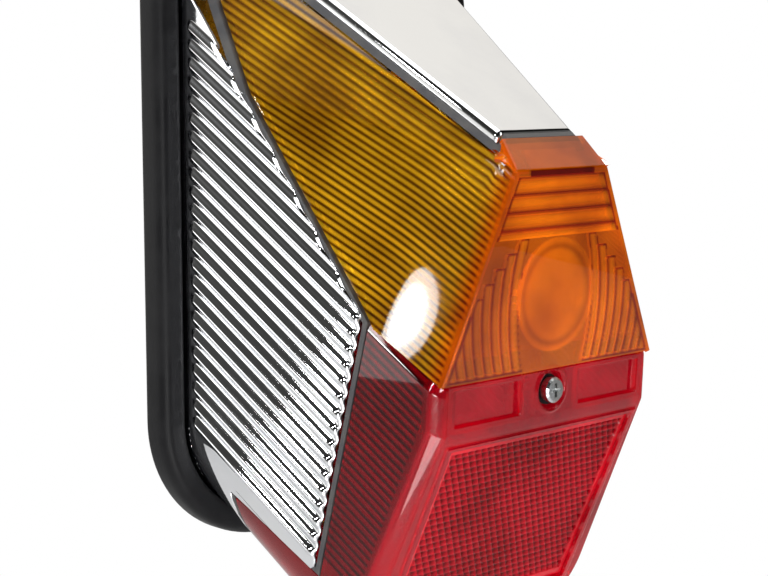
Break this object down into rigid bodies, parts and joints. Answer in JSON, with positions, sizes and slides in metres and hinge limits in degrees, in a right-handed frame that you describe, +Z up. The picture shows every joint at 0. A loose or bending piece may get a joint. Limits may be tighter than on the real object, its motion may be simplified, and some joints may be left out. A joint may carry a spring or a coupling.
{
  "type": "rear combination lamp",
  "caption": "Rear lamp with amber upper lens, red lower lens with reflex panel, ribbed chrome housing and sloping body on a rubber base.",
  "frame": {"origin": "middle of the rubber base's rear face, which is the mounting face", "axes": "+Z up along the base, -Y out of the mounting face towards the lens, +X to the right seen from the front"},
  "size_m": [0.1248, 0.121, 0.2165],
  "materials": {
    "rubber": "moulded, satin",
    "chrome": "bright chrome plate",
    "zinc": "zinc plated, satin",
    "brass": "stamped brass",
    "amber": "clear amber moulding, polished",
    "red": "clear red moulding, polished",
    "white": "moulded",
    "dark": "moulded",
    "glass": "clear"
  },
  "bodies": {
    "lamp_base": {"base_gasket": "rubber", "backplate": "zinc", "chrome_housing": "chrome", "lens_seal": "dark", "chamber_divider": "white", "lens_bracket": "zinc", "cable_grommet": "rubber", "bracket_rivet": "brass", "upper_lead": "dark", "lower_lead": "dark", "mounting_stud_upper": "zinc", "stud_washer_upper": "zinc", "stud_nut_upper": "zinc", "upper_holder_bracket": "zinc", "upper_socket": "brass", "upper_insulator": "dark", "upper_contact_spring": "zinc", "upper_reflector_bowl": "chrome", "mounting_stud_lower": "zinc", "stud_washer_lower": "zinc", "stud_nut_lower": "zinc", "lower_holder_bracket": "zinc", "lower_socket": "brass", "lower_insulator": "dark", "lower_contact_spring": "zinc", "lower_reflector_bowl": "chrome", "housing_screw_1": "zinc", "housing_screw_2": "zinc", "housing_screw_3": "zinc", "housing_screw_4": "zinc"},
    "lens_unit": {"amber_lens": "amber", "red_lens": "red", "reflex_panel": "red", "lens_screw_seal": "rubber"},
    "screw": {"lens_screw": "zinc"},
    "upper_contact": {"upper_contact_plunger": "brass"},
    "upper_bulb": {"upper_bulb_cap": "brass", "upper_bulb_glass": "glass", "upper_bulb_filament": "zinc"},
    "lower_contact": {"lower_contact_plunger": "brass"},
    "lower_bulb": {"lower_bulb_cap": "brass", "lower_bulb_glass": "glass", "lower_bulb_filament": "zinc"}
  },
  "joints": [
    {"name": "lens_lift", "type": "slide", "parent": "lamp_base", "child": "lens_unit", "axis": [0, -0.8269, -0.5623], "range_m": [0, 0.07]},
    {"name": "screw_turn", "type": "hinge", "parent": "lens_unit", "child": "screw", "pos_m": [0, -0.0988, -0.0405], "axis": [0, -1, 0], "continuous": true},
    {"name": "upper_bulb_push", "type": "slide", "parent": "lamp_base", "child": "upper_contact", "axis": [0, 0.8269, 0.5623], "range_m": [0, 0.0025], "stiffness_N_per_m": 4000, "springref_m": -0.002},
    {"name": "upper_bulb_turn", "type": "hinge", "parent": "upper_contact", "child": "upper_bulb", "pos_m": [0, -0.036, 0.03132], "axis": [0, 0.8269, 0.5623], "range_deg": [-20, 0]},
    {"name": "lower_bulb_push", "type": "slide", "parent": "lamp_base", "child": "lower_contact", "axis": [0, 0.8269, 0.5623], "range_m": [0, 0.0025], "stiffness_N_per_m": 4000, "springref_m": -0.002},
    {"name": "lower_bulb_turn", "type": "hinge", "parent": "lower_contact", "child": "lower_bulb", "pos_m": [0, -0.036, -0.06968], "axis": [0, 0.8269, 0.5623], "range_deg": [-20, 0]}
  ]
}
